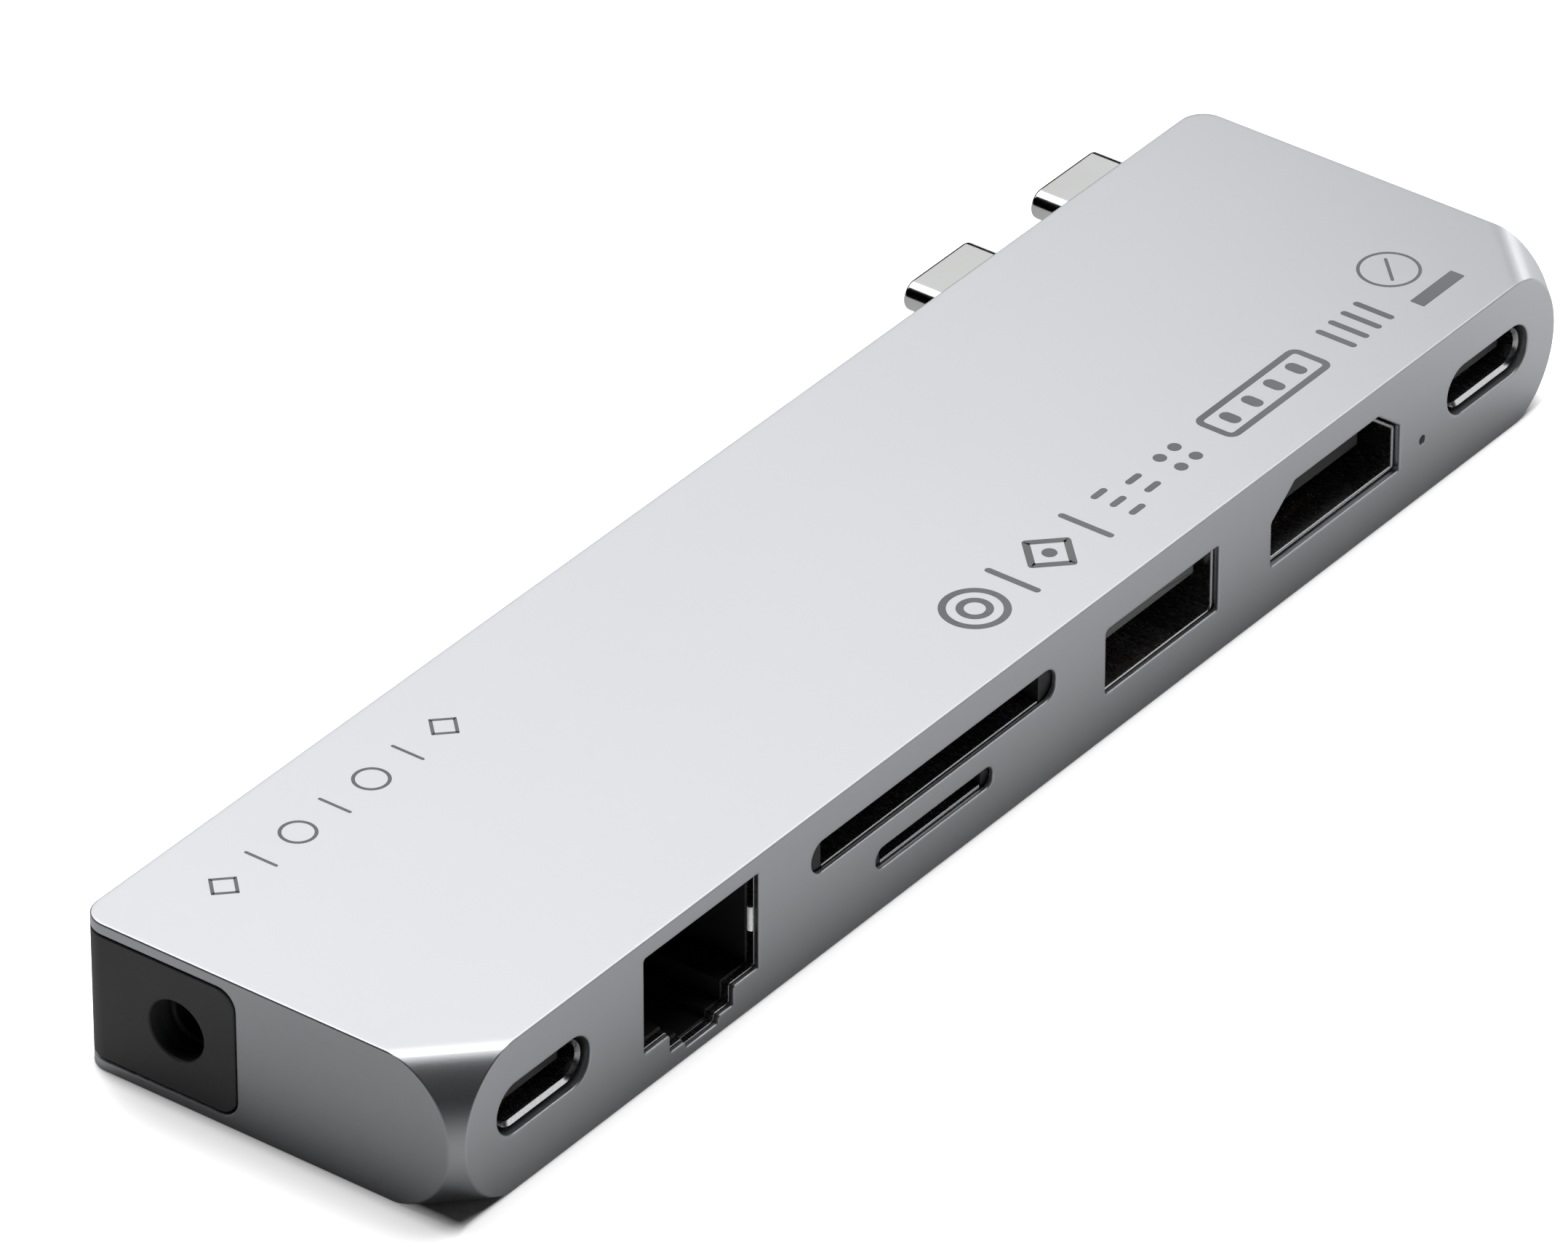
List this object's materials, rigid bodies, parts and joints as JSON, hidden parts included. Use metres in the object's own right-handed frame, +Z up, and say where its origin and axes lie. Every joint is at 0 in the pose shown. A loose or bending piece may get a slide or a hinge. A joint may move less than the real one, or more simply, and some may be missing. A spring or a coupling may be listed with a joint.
{
  "type": "usb hub",
  "caption": "Slim rectangular aluminium laptop hub with a row of data, video, network and card ports along one side, an audio jack at one end and two plugs at the back.",
  "frame": {"origin": "middle of the flat underside of the body, the two plugs left out", "axes": "+X along the body from the audio jack end, -Y out of the port face, +Y out of the plugs, +Z up through the marked face"},
  "size_m": [0.125, 0.0381, 0.0118],
  "materials": {
    "anodised_aluminium": "fine bead-blasted, satin, silver",
    "insert_plastic": "dark grey moulded, fine matte texture",
    "port_plastic": "black moulded connector plastic",
    "port_steel": "stamped, nickel-plated sheet",
    "plug_steel": "bright polished plug shell",
    "contact_gold": "gold-plated spring metal",
    "board_resist": "green solder resist, satin",
    "chip_resin": "black epoxy, matte",
    "thermal_pad": "soft grey-blue gap filler",
    "light_pipe": "clear moulded light guide",
    "lamp": "white lamp resin",
    "screw_steel": "zinc-plated machine screw"
  },
  "bodies": {
    "hub_body": {"housing": "anodised_aluminium", "underside_cover": "anodised_aluminium", "jack_end_insert": "insert_plastic", "plug_bracket": "insert_plastic", "audio_jack_body": "port_plastic", "usb_c_left_tongue": "port_plastic", "usb_c_right_tongue": "port_plastic", "ethernet_jack_body": "port_plastic", "sd_frame": "port_plastic", "microsd_frame": "port_plastic", "usb_a_core": "port_plastic", "video_core": "port_plastic", "usb_c_plug_1_core": "port_plastic", "usb_c_plug_2_core": "port_plastic", "usb_c_left_shell": "port_steel", "usb_c_right_shell": "port_steel", "ethernet_shield": "port_steel", "sd_lid": "port_steel", "microsd_lid": "port_steel", "usb_a_shell": "port_steel", "video_shell": "port_steel", "shield_can": "port_steel", "clock_crystal": "port_steel", "usb_c_plug_1_shell": "plug_steel", "usb_c_plug_2_shell": "plug_steel", "audio_jack_contact": "contact_gold", "ethernet_contacts": "contact_gold", "sd_contacts": "contact_gold", "microsd_contacts": "contact_gold", "usb_a_contacts": "contact_gold", "board_ribbon": "contact_gold", "main_board": "board_resist", "plug_carrier_board": "board_resist", "hub_controller_chip": "chip_resin", "display_converter_chip": "chip_resin", "ethernet_magnetics": "chip_resin", "ethernet_controller_chip": "chip_resin", "card_reader_chip": "chip_resin", "power_controller_chip": "chip_resin", "power_inductor_1": "chip_resin", "power_inductor_2": "chip_resin", "thermal_pad": "thermal_pad", "status_light_pipe": "light_pipe", "status_led": "lamp", "board_screw_1": "screw_steel", "board_screw_2": "screw_steel", "board_screw_3": "screw_steel", "board_screw_4": "screw_steel", "bracket_screw_1": "screw_steel", "bracket_screw_2": "screw_steel"},
    "sd_slider": {"sd_slider": "port_plastic"},
    "microsd_slider": {"microsd_slider": "port_plastic"}
  },
  "joints": [
    {"name": "sd_slider_slide", "type": "slide", "parent": "hub_body", "child": "sd_slider", "axis": [0, 1, 0], "range_m": [0, 0.003], "stiffness_N_per_m": 200, "springref_m": -0.002},
    {"name": "microsd_slider_slide", "type": "slide", "parent": "hub_body", "child": "microsd_slider", "axis": [0, 1, 0], "range_m": [0, 0.0016], "stiffness_N_per_m": 200, "springref_m": -0.001}
  ]
}
